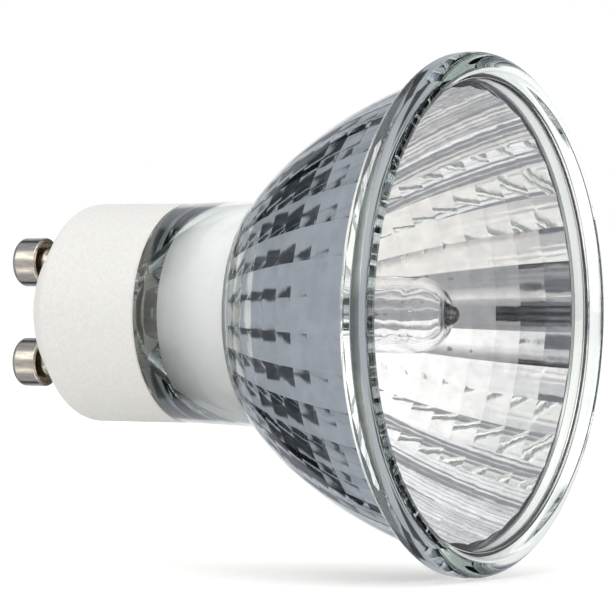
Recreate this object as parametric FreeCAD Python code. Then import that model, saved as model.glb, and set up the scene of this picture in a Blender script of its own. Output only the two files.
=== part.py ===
import FreeCAD, Part
import os
from math import acos, cos, pi, sin, sqrt
from FreeCAD import Vector

# Mains halogen reflector lamp, 50 mm, with a two-pin bayonet base.
# Millimetres. The optical axis is Y: the lens faces -Y and the contact pins point to +Y.
# The origin is the centre of the flat rear face of the ceramic base, and the pins stand in line along Z.

# Ceramic base
base_radius = 10.8
base_length = 14.0
base_wall = 1.3
base_bore_radius = base_radius - base_wall
base_floor = 3.2
base_bevel_length = 3.3
base_bevel_width = 3.8
base_face_radius = base_radius - base_bevel_width
base_bevel_round = 1.6
base_front_round = 0.3
base_bore_chamfer = 0.4

# Contact pins: hollow rivets with a cup-shaped head
pin_spacing = 10.0
pin_reach = 5.7
pin_head_radius = 2.43
pin_head_length = 2.75
pin_head_round = 0.55
pin_head_wall = 0.35
pin_neck_radius = 1.5
pin_bore_radius = 0.95
pin_end_thickness = 0.55
pin_collar_radius = 2.1
pin_collar_thickness = 0.35
pin_rivet_radius = 2.2
pin_rivet_thickness = 0.45
pin_dimple_radius = 0.5
pin_dimple_depth = 0.2

# Glass reflector: rim, bowl, neck and the spigot that enters the base
rim_radius = 25.0
rim_depth = 2.7
rim_front_round = 1.5
rim_rear_round = 0.6
bowl_depth = 22.5
rim_overhang = 1.55
bowl_front_radius = rim_radius - rim_overhang
bowl_rear_radius = 13.35
bowl_centre_ahead = 18.4
bowl_wall = 1.45
lip_depth = 0.9
lip_round = 0.45
neck_length = 11.0
neck_step = 2.15
neck_front_radius = bowl_rear_radius - neck_step
neck_inset = 0.03
neck_rear_radius = base_radius - neck_inset
neck_fillet = 0.8
spigot_clearance = 0.6
spigot_radius = base_bore_radius - spigot_clearance
wiring_depth = 6.7
spigot_length = base_length - wiring_depth
spigot_flat_depth = 1.6
spigot_flat_width = 2 * (spigot_radius - spigot_flat_depth)
spigot_chamfer = 0.6

# Cover glass, its seat inside the rim, and the bead of adhesive between them
rim_wall = 2.05
cover_seat_radius = rim_radius - rim_wall
cover_thickness = 1.3
cover_recess = 0.9
cover_chamfer = 0.25
bead_width = 0.25
cover_radius = cover_seat_radius - bead_width
bead_drop = 0.2

# Mirror: flutes that bulge slightly inward, each a chain of facets
flute_count = 38
flute_rings = 11
flute_rise = 0.18
flute_land = 1.15
flute_land_step = 0.45
flute_land_radius = cover_seat_radius - flute_land_step
neck_front_wall = 0.9
funnel_step = 2.2
funnel_front_radius = neck_front_radius - funnel_step
funnel_round = 1.2

# Quartz capsule
capsule_radius = 3.7
capsule_wall = 0.95
capsule_tip_gap = 2.2
capsule_tip_radius = 1.15
capsule_tip_length = 1.0
capsule_shoulder = 3.0
capsule_waist_radius = 1.6
capsule_bore_waist_radius = 1.2
pinch_width = 5.2
pinch_thickness = 2.7
pinch_round = 0.5
pinch_length = 9.6
pinch_blend = 1.0
pinch_stand = 4.0
pinch_end_gap = 0.8

# Slot behind the funnel, and the cement in the slot and in the base
slot_side_gap = 0.3
slot_width = pinch_width + 2 * slot_side_gap
slot_face_gap = 0.35
slot_thickness = pinch_thickness + 2 * slot_face_gap
funnel_slot_margin = 0.5
funnel_rear_radius = slot_width / 2 + funnel_slot_margin
pinch_cement_recess = 0.4
base_cement_recess = 0.5

# Filament, its support and the leads
filament_stand = 6.24
filament_length = 10.5
filament_radius = 0.38
filament_spread = 2.5
support_radius = 0.11
support_eye_clearance = 0.04
inner_lead_radius = 0.2
foil_width = 1.5
foil_thickness = 0.1
foil_length = 5.0
foil_front_cover = 1.9
outer_lead_radius = 0.3
outer_lead_reach = 0.9
supply_wire_radius = 0.3
supply_wire_bend = 0.9
supply_wire_straight = 0.6 * supply_wire_bend
supply_wire_entry = 0.3 * supply_wire_bend
fuse_wire_radius = 0.13
fuse_wire_length = 1.5
fuse_sleeve_radius = 0.62
fuse_sleeve_wall = 0.2
fuse_sleeve_length = 2.2

# Places along the axis, all counted from the rear face of the base
base_front_y = -base_length
base_floor_y = -base_floor
bowl_rear_y = base_front_y - neck_length
front_y = bowl_rear_y - bowl_depth
rim_rear_y = front_y + rim_depth
cover_front_y = front_y + cover_recess
cover_rear_y = cover_front_y + cover_thickness
flute_front_y = cover_rear_y + flute_land
spigot_rear_y = base_front_y + spigot_length
capsule_front_y = cover_rear_y + capsule_tip_gap
capsule_dome_y = capsule_front_y + capsule_tip_length + capsule_radius
pinch_rear_y = spigot_rear_y - pinch_end_gap
pinch_front_y = pinch_rear_y - pinch_length
foil_front_y = pinch_front_y + foil_front_cover
foil_rear_y = foil_front_y + foil_length
outer_lead_end_y = pinch_rear_y + outer_lead_reach
pin_head_y = pin_reach - pin_head_length
pin_cup_floor_y = pin_reach - pin_end_thickness
pin_bore_end_y = pin_cup_floor_y - pin_end_thickness
pin_rivet_y = base_floor_y - pin_rivet_thickness
pin_z = pin_spacing / 2
lead_z = filament_spread / 2

# The bowl's outside is an ellipse through the rear of the rim and the rear lip
bowl_centre_y = front_y - bowl_centre_ahead
lip_y = bowl_rear_y - lip_depth


def ellipse_through(y_a, radius_a, y_b, radius_b):
    """Half-length and half-width of the ellipse on the bowl's centre through two points."""
    t_a = y_a - bowl_centre_y
    t_b = y_b - bowl_centre_y
    slope = (radius_a ** 2 - radius_b ** 2) / (t_b ** 2 - t_a ** 2)
    half_width = sqrt(radius_a ** 2 + slope * t_a ** 2)
    return half_width / sqrt(slope), half_width


bowl_half_length, bowl_half_width = ellipse_through(
    rim_rear_y, bowl_front_radius, lip_y, bowl_rear_radius)
mirror_half_length, mirror_half_width = ellipse_through(
    rim_rear_y, bowl_front_radius - bowl_wall, bowl_rear_y, neck_front_radius - neck_front_wall)


def mirror_y(radius):
    """Where the mirror's ellipse has this radius."""
    return bowl_centre_y + mirror_half_length * sqrt(1 - (radius / mirror_half_width) ** 2)


def mirror_angle(y):
    """The ellipse's own angle at this place along the axis."""
    return acos((y - bowl_centre_y) / mirror_half_length)


funnel_front_y = mirror_y(funnel_front_radius)
funnel_rear_y = pinch_front_y + pinch_stand
slot_front_y = funnel_rear_y - funnel_round


def at(radius, y):
    """A point of a turned outline."""
    return Vector(radius, y, 0)


def toward(start, end, distance):
    """The point that lies this far from start on the way to end."""
    return start + (end - start).normalize() * distance


def rounded_path(corners, closed=True):
    """Edges through corners given as (radius, y) or (radius, y, rounding)."""
    points = [at(corner[0], corner[1]) for corner in corners]
    rounds = [corner[2] if len(corner) > 2 else 0 for corner in corners]
    count = len(points)
    entries = list(points)
    exits = list(points)
    edges = []
    for i in range(count):
        if not rounds[i]:
            continue
        before = points[i - 1]
        after = points[(i + 1) % count]
        half_angle = (before - points[i]).getAngle(after - points[i]) / 2
        setback = rounds[i] * cos(half_angle) / sin(half_angle)
        middle = rounds[i] / sin(half_angle) - rounds[i]
        entries[i] = toward(points[i], before, setback)
        exits[i] = toward(points[i], after, setback)
        inward = (entries[i] + exits[i]) * 0.5
        edges.append(Part.Arc(entries[i], toward(points[i], inward, middle), exits[i]).toShape())
    last = count if closed else count - 1
    for i in range(last):
        start = exits[i]
        end = entries[(i + 1) % count]
        if start.distanceToPoint(end) > 1e-6:
            edges.append(Part.makeLine(start, end))
    return edges


def turned(edges):
    """A solid turned about the Y axis from the edges of a closed outline."""
    outline = Part.Wire(Part.sortEdges(edges)[0])
    return Part.Face(outline).revolve(Vector(0, 0, 0), Vector(0, 1, 0), 360)


def tube_along(path_edges, radius):
    """A round wire along a path of lines and tangent arcs."""
    path = Part.Wire(path_edges)
    start = path_edges[0].valueAt(path_edges[0].FirstParameter)
    heading = path_edges[0].tangentAt(path_edges[0].FirstParameter)
    section = Part.Wire(Part.makeCircle(radius, start, heading))
    return path.makePipeShell([section], True, False)


def bent_path(points, bend):
    """Lines through the points with every inner corner rounded to the same radius."""
    edges = []
    start = points[0]
    for i in range(1, len(points) - 1):
        before, corner, after = points[i - 1], points[i], points[i + 1]
        half_angle = (before - corner).getAngle(after - corner) / 2
        setback = bend * cos(half_angle) / sin(half_angle)
        entry = toward(corner, before, setback)
        leave = toward(corner, after, setback)
        middle = toward(corner, (entry + leave) * 0.5, bend / sin(half_angle) - bend)
        edges.append(Part.makeLine(start, entry))
        edges.append(Part.Arc(entry, middle, leave).toShape())
        start = leave
    edges.append(Part.makeLine(start, points[-1]))
    return edges


def rod(radius, y_from, y_to, z=0):
    """A round rod parallel to the axis."""
    return Part.makeCylinder(radius, y_to - y_from, Vector(0, y_from, z), Vector(0, 1, 0))


def bar(width_z, thickness_x, y_from, y_to, z=0):
    """A flat bar parallel to the axis, wide along Z and thin along X."""
    corner = Vector(-thickness_x / 2, y_from, z - width_z / 2)
    return Part.makeBox(thickness_x, y_to - y_from, width_z, corner)


def make_base():
    """Pressed ceramic cup with a bevelled rear edge and two counterbored holes for the pins."""
    body = turned(rounded_path([
        (0, 0),
        (base_face_radius, 0, base_bevel_round),
        (base_radius, -base_bevel_length, base_bevel_round),
        (base_radius, base_front_y, base_front_round),
        (base_bore_radius + base_bore_chamfer, base_front_y),
        (base_bore_radius, base_front_y + base_bore_chamfer),
        (base_bore_radius, base_floor_y, base_bore_chamfer),
        (0, base_floor_y),
    ]))
    for side in (-1, 1):
        body = body.cut(rod(pin_neck_radius, base_floor_y, 0, side * pin_z))
        body = body.cut(rod(pin_collar_radius, -pin_collar_thickness, 0, side * pin_z))
    return body


def make_pin(side):
    """Hollow contact pin: rivet flange, shank, sunk collar and a cup head that opens to the base."""
    cup_radius = pin_head_radius - pin_head_wall
    pin = turned(rounded_path([
        (pin_bore_radius, pin_rivet_y),
        (pin_rivet_radius, pin_rivet_y, pin_rivet_thickness / 2),
        (pin_rivet_radius, base_floor_y),
        (pin_neck_radius, base_floor_y),
        (pin_neck_radius, -pin_collar_thickness),
        (pin_collar_radius, -pin_collar_thickness),
        (pin_collar_radius, 0),
        (pin_neck_radius, 0),
        (pin_neck_radius, pin_cup_floor_y, pin_head_wall / 2),
        (cup_radius, pin_cup_floor_y, pin_head_wall / 2),
        (cup_radius, pin_head_y),
        (pin_head_radius, pin_head_y, pin_head_wall / 3),
        (pin_head_radius, pin_reach, pin_head_round),
        (pin_dimple_radius, pin_reach),
        (0, pin_reach - pin_dimple_depth),
        (0, pin_bore_end_y),
        (pin_bore_radius, pin_bore_end_y),
    ]))
    pin.translate(Vector(0, 0, side * pin_z))
    return pin


def make_spigot_blank():
    """The part of the neck that enters the base, with a flat on each side."""
    spigot = turned(rounded_path([
        (0, base_front_y - neck_fillet),
        (spigot_radius, base_front_y - neck_fillet),
        (spigot_radius, spigot_rear_y - spigot_chamfer),
        (spigot_radius - spigot_chamfer, spigot_rear_y),
        (0, spigot_rear_y),
    ]))
    slab = bar(4 * spigot_radius, spigot_flat_width, base_front_y - neck_fillet, spigot_rear_y)
    return spigot.common(slab)


def make_bowl_blank():
    """Outside of the pressed glass: rim, elliptical bowl, rear lip and neck."""
    ellipse = Part.Ellipse(
        at(0, bowl_centre_y + bowl_half_length), at(bowl_half_width, bowl_centre_y), at(0, bowl_centre_y))
    rear_angle = acos((lip_y - bowl_centre_y) / bowl_half_length)
    front_angle = acos((rim_rear_y - bowl_centre_y) / bowl_half_length)
    bowl_edge = Part.Arc(ellipse, rear_angle, front_angle).toShape()
    rim_edges = rounded_path([
        (0, front_y),
        (rim_radius, front_y, rim_front_round),
        (rim_radius, rim_rear_y, rim_rear_round),
        (bowl_front_radius, rim_rear_y),
    ], closed=False)
    neck_edges = rounded_path([
        (bowl_rear_radius, lip_y),
        (bowl_rear_radius - lip_depth, bowl_rear_y, lip_round),
        (neck_front_radius, bowl_rear_y, neck_fillet),
        (neck_rear_radius, base_front_y),
        (0, base_front_y),
    ], closed=False)
    axis_edge = Part.makeLine(at(0, base_front_y), at(0, front_y))
    return turned(rim_edges + [bowl_edge] + neck_edges + [axis_edge])


def flute_section(y):
    """One closed ring of arcs across the flutes. Neighbours meet in a groove that lies on the ellipse."""
    radius = mirror_half_width * sin(mirror_angle(y))
    rise = flute_rise * radius / flute_land_radius
    step = 2 * pi / flute_count
    arcs = []
    for i in range(flute_count):
        corners = [Vector(reach * cos(turn), y, reach * sin(turn)) for reach, turn in (
            (radius, (i - 0.5) * step), (radius - rise, i * step), (radius, (i + 0.5) * step))]
        arcs.append(Part.Arc(*corners).toShape())
    return Part.Wire(arcs)


def make_fluted_plug():
    """The space inside the mirror, as rings of facets between evenly turned sections."""
    front_angle = mirror_angle(flute_front_y)
    rear_angle = mirror_angle(funnel_front_y)
    sections = []
    for ring in range(flute_rings + 1):
        angle = front_angle + (rear_angle - front_angle) * ring / flute_rings
        sections.append(flute_section(bowl_centre_y + mirror_half_length * cos(angle)))
    return Part.makeLoft(sections, True, True)


def make_funnel():
    """The smooth funnel behind the flutes, which narrows to the slot for the pinch."""
    return turned(rounded_path([
        (0, funnel_front_y),
        (funnel_front_radius, funnel_front_y),
        (funnel_rear_radius, slot_front_y, funnel_round),
        (funnel_rear_radius - funnel_round, funnel_rear_y),
        (0, funnel_rear_y),
    ]))


def make_reflector():
    """Pressed glass reflector in one piece, from the rim to the spigot."""
    glass = make_bowl_blank().fuse(make_spigot_blank())
    seat = rod(cover_seat_radius, front_y, cover_rear_y)
    land = rod(flute_land_radius, cover_rear_y, flute_front_y)
    slot = bar(slot_width, slot_thickness, slot_front_y, spigot_rear_y)
    for hollow in (seat, land, make_fluted_plug(), make_funnel(), slot):
        glass = glass.cut(hollow)
    return glass.removeSplitter()


def make_cover():
    """Clear cover disc with its edges eased."""
    return turned(rounded_path([
        (0, cover_front_y),
        (cover_radius - cover_chamfer, cover_front_y),
        (cover_radius, cover_front_y + cover_chamfer),
        (cover_radius, cover_rear_y - cover_chamfer),
        (cover_radius - cover_chamfer, cover_rear_y),
        (0, cover_rear_y),
    ]))


def make_bead():
    """Adhesive between the edge of the cover and the wall of its seat."""
    return turned(rounded_path([
        (cover_radius, cover_front_y + cover_chamfer),
        (cover_seat_radius, cover_front_y + bead_drop),
        (cover_seat_radius, cover_rear_y),
        (cover_radius - cover_chamfer, cover_rear_y),
        (cover_radius, cover_rear_y - cover_chamfer),
    ]))


def make_capsule_blank(radius, waist_radius, rear_y):
    """A domed tube with a tapered shoulder: the capsule's outside, or its bore."""
    dome_front_y = capsule_dome_y - radius
    dome = Part.Arc(
        at(0, dome_front_y),
        at(radius * sin(pi / 4), capsule_dome_y - radius * cos(pi / 4)),
        at(radius, capsule_dome_y)).toShape()
    side = rounded_path([
        (radius, capsule_dome_y),
        (radius, pinch_front_y - capsule_shoulder, capsule_shoulder / 2),
        (waist_radius, rear_y),
        (0, rear_y),
    ], closed=False)
    return turned([dome] + side + [Part.makeLine(at(0, rear_y), at(0, dome_front_y))])


def make_capsule_outside():
    """Domed tube, exhaust tip and flat pinch, with nothing inside."""
    tip_y = capsule_front_y + capsule_tip_radius
    tip = rod(capsule_tip_radius, tip_y, capsule_dome_y)
    tip = tip.fuse(Part.makeSphere(capsule_tip_radius, Vector(0, tip_y, 0)))
    pinch = bar(pinch_width, pinch_thickness, pinch_front_y - pinch_blend, pinch_rear_y)
    pinch = pinch.makeFillet(pinch_round, [edge for edge in pinch.Edges
                                           if abs(edge.tangentAt(edge.FirstParameter).y) > 0.99])
    return make_capsule_blank(capsule_radius, capsule_waist_radius, pinch_front_y).fuse([tip, pinch])


def make_capsule(inner_pieces):
    """Quartz capsule, hollow up to the pinch, which is sealed round the foils and leads."""
    bore_rear_y = pinch_front_y - capsule_wall / 2
    bore = make_capsule_blank(capsule_radius - capsule_wall, capsule_bore_waist_radius, bore_rear_y)
    quartz = make_capsule_outside().cut(bore)
    for piece in inner_pieces:
        quartz = quartz.cut(piece)
    return quartz.removeSplitter()


def make_pinch_cement():
    """Cement in the slot of the reflector, round the pinch."""
    filling = bar(slot_width, slot_thickness, funnel_rear_y + pinch_cement_recess, pinch_rear_y)
    return filling.cut(make_capsule_outside())


def make_base_cement():
    """Ring of cement between the spigot and the bore of the base."""
    front = base_front_y + base_cement_recess
    return rod(base_bore_radius, front, spigot_rear_y - spigot_chamfer).cut(make_spigot_blank())


def filament_ends():
    """Front and rear of the filament's legs, which end a set distance ahead of the pinch."""
    bend = filament_spread / 2
    rear = pinch_front_y - filament_stand
    return rear - filament_length + bend, rear


def make_filament():
    """Coiled tungsten hairpin, drawn as the outer shape of its coil."""
    front, rear = filament_ends()
    bend = filament_spread / 2
    path = [
        Part.makeLine(Vector(0, rear, -lead_z), Vector(0, front, -lead_z)),
        Part.Arc(Vector(0, front, -lead_z), Vector(0, front - bend, 0), Vector(0, front, lead_z)).toShape(),
        Part.makeLine(Vector(0, front, lead_z), Vector(0, rear, lead_z)),
    ]
    return tube_along(path, filament_radius)


def make_support():
    """Thin stem from the pinch with an eye that carries the front bend of the filament."""
    front, rear = filament_ends()
    bend_y = front - filament_spread / 2
    eye_radius = filament_radius + support_eye_clearance + support_radius
    stem = rod(support_radius, bend_y + eye_radius, foil_front_y)
    eye = Part.makeTorus(eye_radius, support_radius, Vector(0, bend_y, 0), Vector(0, 0, 1))
    return stem.fuse(eye)


def make_inner_lead(side):
    """Lead from the foil to the end of one filament leg."""
    rear = filament_ends()[1]
    return rod(inner_lead_radius, rear, foil_front_y, side * lead_z)


def make_foil(side):
    """Molybdenum foil sealed in the pinch."""
    return bar(foil_width, foil_thickness, foil_front_y, foil_rear_y, side * lead_z)


def make_outer_lead(side):
    """Stiff lead that leaves the rear of the pinch."""
    return rod(outer_lead_radius, foil_rear_y, outer_lead_end_y, side * lead_z)


def supply_route(side):
    """The wire's corners, from the outer lead to the end of the pin's bore."""
    turn_out_y = outer_lead_end_y + supply_wire_straight
    turn_in_y = pin_rivet_y - supply_wire_entry
    return [
        Vector(0, outer_lead_end_y, side * lead_z),
        Vector(0, turn_out_y, side * lead_z),
        Vector(0, turn_in_y, side * pin_z),
        Vector(0, pin_bore_end_y, side * pin_z),
    ]


def make_supply_wire(side):
    """Wire from the outer lead into the hollow pin, where it is welded."""
    return tube_along(bent_path(supply_route(side), supply_wire_bend), supply_wire_radius)


def fuse_rod(side, radius, length):
    """A rod about the middle of the wire's slanting run."""
    route = supply_route(side)
    middle = (route[1] + route[2]) * 0.5
    start = toward(middle, route[1], length / 2)
    return Part.makeCylinder(radius, length, start, route[2] - route[1])


def make_fused_supply(side):
    """The supply wire with a gap for the fuse: the stub on the lead, then the length in the pin."""
    wire = make_supply_wire(side).cut(fuse_rod(side, fuse_sleeve_radius, fuse_wire_length))
    return sorted(wire.Solids, key=lambda solid: solid.BoundBox.YMin)


def make_fuse_sleeve(side):
    """Woven glass sleeve over the fuse wire and the wire ends beside it."""
    sleeve = fuse_rod(side, fuse_sleeve_radius, fuse_sleeve_length)
    return sleeve.cut(fuse_rod(side, fuse_sleeve_radius - fuse_sleeve_wall, fuse_sleeve_length))


def make_pieces():
    """Every physical piece of the lamp by name."""
    sides = {"upper": 1, "lower": -1}
    pieces = {
        "ceramic_base": make_base(),
        "reflector": make_reflector(),
        "cover_glass": make_cover(),
        "cover_bead": make_bead(),
        "filament": make_filament(),
        "filament_support": make_support(),
        "pinch_cement": make_pinch_cement(),
        "base_cement": make_base_cement(),
    }
    for name, side in sides.items():
        pieces["contact_pin_" + name] = make_pin(side)
        pieces["inner_lead_" + name] = make_inner_lead(side)
        pieces["foil_" + name] = make_foil(side)
        pieces["outer_lead_" + name] = make_outer_lead(side)
    stub, wire = make_fused_supply(sides["upper"])
    pieces["fuse_stub"] = stub
    pieces["fuse_wire"] = fuse_rod(sides["upper"], fuse_wire_radius, fuse_wire_length)
    pieces["fuse_sleeve"] = make_fuse_sleeve(sides["upper"])
    pieces["supply_wire_upper"] = wire
    pieces["supply_wire_lower"] = make_supply_wire(sides["lower"])
    stems = ("inner_lead_", "foil_", "outer_lead_")
    sealed_in = [pieces[stem + name] for stem in stems for name in sides]
    pieces["capsule"] = make_capsule(sealed_in + [pieces["filament_support"]])
    return pieces


os.makedirs("parts", exist_ok=True)
for piece_name, shape in make_pieces().items():
    shape.exportStep("parts/" + piece_name + ".step")
    box = shape.BoundBox
    print("%-20s solids %d faces %4d volume %9.2f  y %.2f to %.2f valid %s" % (
        piece_name, len(shape.Solids), len(shape.Faces), shape.Volume, box.YMin, box.YMax, shape.isValid()))
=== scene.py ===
"""Looks of a 50 mm mains halogen reflector lamp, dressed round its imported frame."""
import logging
from dataclasses import dataclass, field
from enum import Enum, IntEnum
from math import acos, asin, cos, pi, sin, sqrt, tau
from typing import Callable, Sequence, Union

import bpy
from mathutils import Matrix, Vector


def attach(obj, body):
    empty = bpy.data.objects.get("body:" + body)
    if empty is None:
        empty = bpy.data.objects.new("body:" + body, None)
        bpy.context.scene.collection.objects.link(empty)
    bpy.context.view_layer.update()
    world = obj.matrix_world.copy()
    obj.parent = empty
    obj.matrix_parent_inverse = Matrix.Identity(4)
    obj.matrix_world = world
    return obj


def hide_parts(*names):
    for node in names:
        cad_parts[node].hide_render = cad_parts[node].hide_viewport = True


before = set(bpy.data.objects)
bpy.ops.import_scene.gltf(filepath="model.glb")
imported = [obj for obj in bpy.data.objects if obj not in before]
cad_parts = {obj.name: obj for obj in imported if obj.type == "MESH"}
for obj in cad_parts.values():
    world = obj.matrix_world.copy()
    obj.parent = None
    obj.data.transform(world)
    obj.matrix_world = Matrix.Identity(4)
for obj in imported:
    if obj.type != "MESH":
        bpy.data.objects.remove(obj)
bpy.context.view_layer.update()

log = logging.getLogger("spotlight_bulb")

Shape = Callable[[float], float]
Radius = Union[float, Shape]
Profile = list[tuple[float, float]]
Triple = tuple[float, float, float]
Colour = tuple[float, float, float, float]
Socket = bpy.types.NodeSocket

MM = 0.001
# Radius in millimetres of the smallest ring beside the axis.
AXIS_GAP = 0.02
# Middle of the noise's values, and where nearly all of them lie.
NOISE_MIDDLE = 0.5
NOISE_LOW, NOISE_HIGH = 0.3, 0.7
# Share of the light that goes below the surface of ceramic and silicone.
SUBSURFACE_SHARE = 0.3
# Between no bounce and one.
HALF_BOUNCE = 0.5


class Slot(Enum):
    """Material slots of the record for the scene's own pieces."""

    REFLECTOR = "reflector_glass"
    COVER = "cover_glass"
    CAPSULE = "capsule_quartz"
    FILAMENT = "filament_tungsten"


class Coat(IntEnum):
    """What lies on a stretch of glass, by its material number."""

    CLEAR = 0
    MIRROR = 1
    SATIN = 2


def linear(hex_colour: str) -> Colour:
    """Turns an sRGB hex colour into the linear colour that shaders take.

    Args:
        hex_colour: Six hex digits, with or without a leading hash.

    Returns:
        Linear red, green, blue and an alpha of one.
    """
    digits = hex_colour.lstrip("#")
    channels = [int(digits[i:i + 2], 16) / 255 for i in (0, 2, 4)]
    return (*[c / 12.92 if c <= 0.04045 else ((c + 0.055) / 1.055) ** 2.4 for c in channels], 1.0)


def add_node(tree: bpy.types.NodeTree, kind: str, settings: dict | None = None,
             sockets: dict | None = None) -> bpy.types.Node:
    """Adds one node with its settings, input values and input links.

    Args:
        tree: The node tree that gets the node.
        kind: The node's type name.
        settings: Attributes set on the node itself.
        sockets: Input values by socket name or number. An output socket there is linked.

    Returns:
        The new node.
    """
    node = tree.nodes.new(kind)
    for name, value in (settings or {}).items():
        setattr(node, name, value)
    for name, value in (sockets or {}).items():
        if isinstance(value, Socket):
            tree.links.new(value, node.inputs[name])
        else:
            node.inputs[name].default_value = value
    return node


def layered(tree: bpy.types.NodeTree, base: Colour | Socket,
            layers: Sequence[tuple[Socket, Colour | Socket]]) -> Socket:
    """Lays colours over one another.

    Args:
        tree: The node tree that gets the nodes.
        base: The colour below all.
        layers: Share and colour of each layer, from the lowest up.

    Returns:
        The colour that shows.
    """
    shown = base
    for share, colour in layers:
        mix = add_node(tree, "ShaderNodeMix", {"data_type": "RGBA"}, {
            "Factor": share, "A": shown, "B": colour})
        shown = mix.outputs["Result"]
    return shown


@dataclass(frozen=True)
class Grain:
    """A fine relief and colour change over a surface, sized in millimetres.

    Attributes:
        size_mm: Width of one grain or ripple.
        relief_mm: Depth of the relief.
        darker: Hex colour of the low or worn places.
        stretch: How much longer the grain is along the lamp's axis than across it.
        detail: Octaves of the noise.
        contrast: Share of the noise range over which the colour changes.
    """

    size_mm: float
    relief_mm: float
    darker: str
    stretch: float = 1.0
    detail: float = 3.0
    contrast: float = 0.3


@dataclass(frozen=True)
class Finish:
    """A real material and how its surface was made.

    Attributes:
        name: Material name.
        colour: Hex colour of the clean surface.
        grain: The surface's grain.
        roughness: Principled roughness.
        metallic: One for bare metal.
        transmission: One for clear glass.
        ior: Index of refraction, left out for metals.
        rough_spread: How far the grain moves the roughness up and down.
        sheen: Fuzz of woven fibre.
        tint: Hex colour left after a long way through glass.
        tint_density: Absorption density in 1/m for the tint.
        subsurface_mm: Depth that light scatters to, for ceramic and silicone.
    """

    name: str
    colour: str
    grain: Grain
    roughness: float
    metallic: float = 0.0
    transmission: float = 0.0
    ior: float = 1.5
    rough_spread: float = 0.04
    sheen: float = 0.0
    tint: str = ""
    tint_density: float = 0.0
    subsurface_mm: float = 0.0

    def material(self) -> bpy.types.Material:
        """Builds the material once.

        Returns:
            The new material, or the one already built under this name.
        """
        known = bpy.data.materials.get(self.name)
        if known:
            return known
        made = bpy.data.materials.new(self.name)
        made.use_nodes = True
        tree = made.node_tree
        tree.nodes.clear()
        output = add_node(tree, "ShaderNodeOutputMaterial")
        place = add_node(tree, "ShaderNodeTexCoord").outputs["Object"]
        spread = add_node(tree, "ShaderNodeMapping", {}, {
            "Vector": place, "Scale": (1.0, 1.0 / self.grain.stretch, 1.0)})
        noise = add_node(tree, "ShaderNodeTexNoise", {}, {
            "Vector": spread.outputs["Vector"], "Scale": 1 / (self.grain.size_mm * MM),
            "Detail": self.grain.detail}).outputs["Fac"]
        tone = add_node(tree, "ShaderNodeMapRange", {}, {
            "Value": noise, "From Min": NOISE_MIDDLE - self.grain.contrast / 2,
            "From Max": NOISE_MIDDLE + self.grain.contrast / 2}).outputs["Result"]
        bump = add_node(tree, "ShaderNodeBump", {}, {
            "Height": noise, "Distance": self.grain.relief_mm * MM, "Strength": 1.0})
        sockets = {
            "Base Color": layered(tree, linear(self.grain.darker), [(tone, linear(self.colour))]),
            "Roughness": self.roughness, "Normal": bump.outputs["Normal"],
            "Metallic": self.metallic, "Transmission Weight": self.transmission,
            "Sheen Weight": self.sheen}
        if self.rough_spread:
            rough = add_node(tree, "ShaderNodeMapRange", {}, {
                "Value": noise, "From Min": NOISE_LOW, "From Max": NOISE_HIGH,
                "To Min": self.roughness + self.rough_spread,
                "To Max": self.roughness - self.rough_spread})
            sockets["Roughness"] = rough.outputs["Result"]
        if not self.metallic:
            sockets["IOR"] = self.ior
        if self.subsurface_mm:
            sockets["Subsurface Weight"] = SUBSURFACE_SHARE
            sockets["Subsurface Scale"] = self.subsurface_mm * MM
        shader = add_node(tree, "ShaderNodeBsdfPrincipled", {}, sockets)
        tree.links.new(shader.outputs["BSDF"], output.inputs["Surface"])
        if self.tint:
            absorption = add_node(tree, "ShaderNodeVolumeAbsorption", {}, {
                "Color": linear(self.tint), "Density": self.tint_density})
            tree.links.new(absorption.outputs["Volume"], output.inputs["Volume"])
        return made


# Borosilicate glass, pressed and fire-polished: clear, with a green cast in thick places.
PRESSED_GLASS = Finish(
    "pressed_borosilicate_glass", "#FCFFFD", Grain(9.0, 0.004, "#F6FBF8", detail=1.0), 0.0,
    transmission=1.0, ior=1.472, rough_spread=0.0, tint="#D9E6E1", tint_density=18.0)
# Soda-lime float glass disc, polished: flat and clear.
FLOAT_GLASS = Finish(
    "float_glass", "#FFFFFE", Grain(14.0, 0.001, "#FCFCFB", detail=1.0), 0.0,
    transmission=1.0, ior=1.517, rough_spread=0.0, tint="#D9E6E1", tint_density=12.0)
# Fused quartz, flame-worked: clear, with soft ripples left by the flame.
FUSED_QUARTZ = Finish(
    "fused_quartz", "#FFFFFF", Grain(2.6, 0.10, "#FAFAFC", detail=1.0), 0.0,
    transmission=1.0, ior=1.458, rough_spread=0.0)
# Aluminium, evaporated in vacuum on pressed glass: a bright mirror with faint ripples.
MIRROR_COAT = Finish(
    "evaporated_aluminium_mirror", "#F4F5F7", Grain(1.8, 0.008, "#E8E9EC", detail=2.0), 0.04,
    metallic=1.0, rough_spread=0.02)
# The same aluminium on the acid-dulled funnel: it scatters light so evenly that it looks
# white through the neck, so it is nearly matt here.
SATIN_COAT = Finish(
    "evaporated_aluminium_satin", "#FFFAFC", Grain(0.5, 0.002, "#F9F9FB", detail=3.0), 0.42,
    metallic=0.08, rough_spread=0.04)
# Steatite, dry-pressed and fired, unglazed: warm white with a fine matt grain.
STEATITE = Finish(
    "pressed_steatite", "#EFEEEB", Grain(0.35, 0.008, "#E8E7E3", detail=4.0), 0.5,
    ior=1.54, rough_spread=0.06, subsurface_mm=0.6)
# Nickel plate on drawn brass rivets: bright satin with faint lines along the pin.
NICKEL_PLATE = Finish(
    "nickel_plate", "#E9E4DA",
    Grain(0.30, 0.004, "#BDB6AA", stretch=4.0, detail=3.0, contrast=0.6), 0.20,
    metallic=1.0, rough_spread=0.06)
# Sodium silicate cement, trowelled and dried: off-white and chalky.
CEMENT = Finish(
    "silicate_cement", "#DED9CC", Grain(0.5, 0.05, "#C9C2B2", detail=5.0), 0.85, ior=1.48)
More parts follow.
